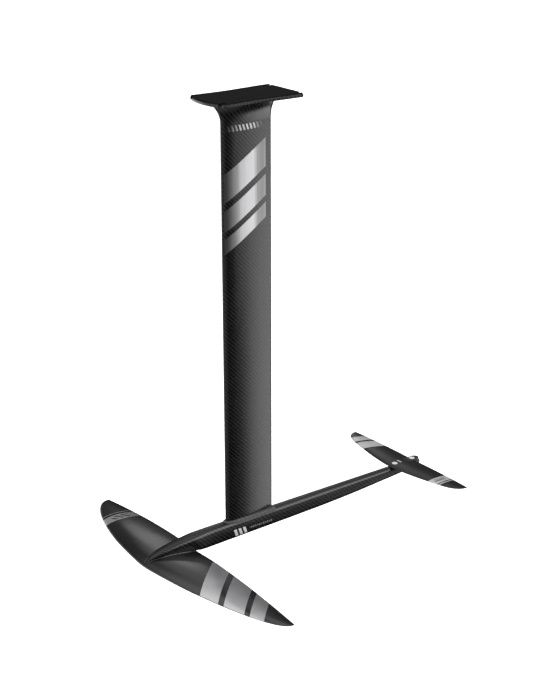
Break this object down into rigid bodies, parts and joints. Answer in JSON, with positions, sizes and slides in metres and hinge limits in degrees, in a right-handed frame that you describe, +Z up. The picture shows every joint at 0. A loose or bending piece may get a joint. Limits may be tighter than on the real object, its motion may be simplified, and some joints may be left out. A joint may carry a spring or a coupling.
{
  "type": "hydrofoil",
  "caption": "Carbon hydrofoil with board plate, mast, fuselage, front wing and stabilizer, which lifts a board clear of the water.",
  "frame": {"origin": "centre of the plate's top face, which bears against the board's underside", "axes": "+X forward towards the front wing, +Y to port, +Z up out of the plate into the board"},
  "size_m": [0.7113, 0.65, 0.9081],
  "materials": {
    "pad_rubber": "fine matte grip texture",
    "carbon_gloss": "clear-coated twill carbon",
    "carbon_satin": "satin twill carbon with silver graphic",
    "carbon_wing": "satin dark grey with silver graphic",
    "carbon_block": "machined solid carbon laminate",
    "foam": "closed-cell structural foam",
    "stainless": "turned stainless steel",
    "brass": "turned brass"
  },
  "bodies": {
    "root": {"board_pad": "pad_rubber", "board_plate": "carbon_gloss", "mast_skin": "carbon_satin", "mast_head_block": "carbon_block", "mast_foot_block": "carbon_block", "mast_web_front": "carbon_block", "mast_web_rear": "carbon_block", "mast_core_front": "foam", "mast_core_middle": "foam", "mast_core_rear": "foam", "mast_collar": "carbon_gloss", "fuselage_shell": "carbon_gloss", "fuselage_nose_block": "carbon_block", "fuselage_mast_block": "carbon_block", "fuselage_tail_block": "carbon_block", "fuselage_core_front": "foam", "fuselage_core_rear": "foam", "front_wing_skin": "carbon_wing", "front_wing_root_block": "carbon_block", "front_wing_core_port": "foam", "front_wing_core_starboard": "foam", "stabilizer": "carbon_wing", "mast_screw_1": "stainless", "mast_insert_1": "brass", "mast_screw_2": "stainless", "mast_insert_2": "brass", "mast_screw_3": "stainless", "mast_insert_3": "brass", "wing_screw_1": "stainless", "wing_insert_1": "brass", "stabilizer_screw_1": "stainless", "tail_insert_1": "brass", "wing_screw_2": "stainless", "wing_insert_2": "brass", "stabilizer_screw_2": "stainless", "tail_insert_2": "brass"}
  },
  "joints": []
}
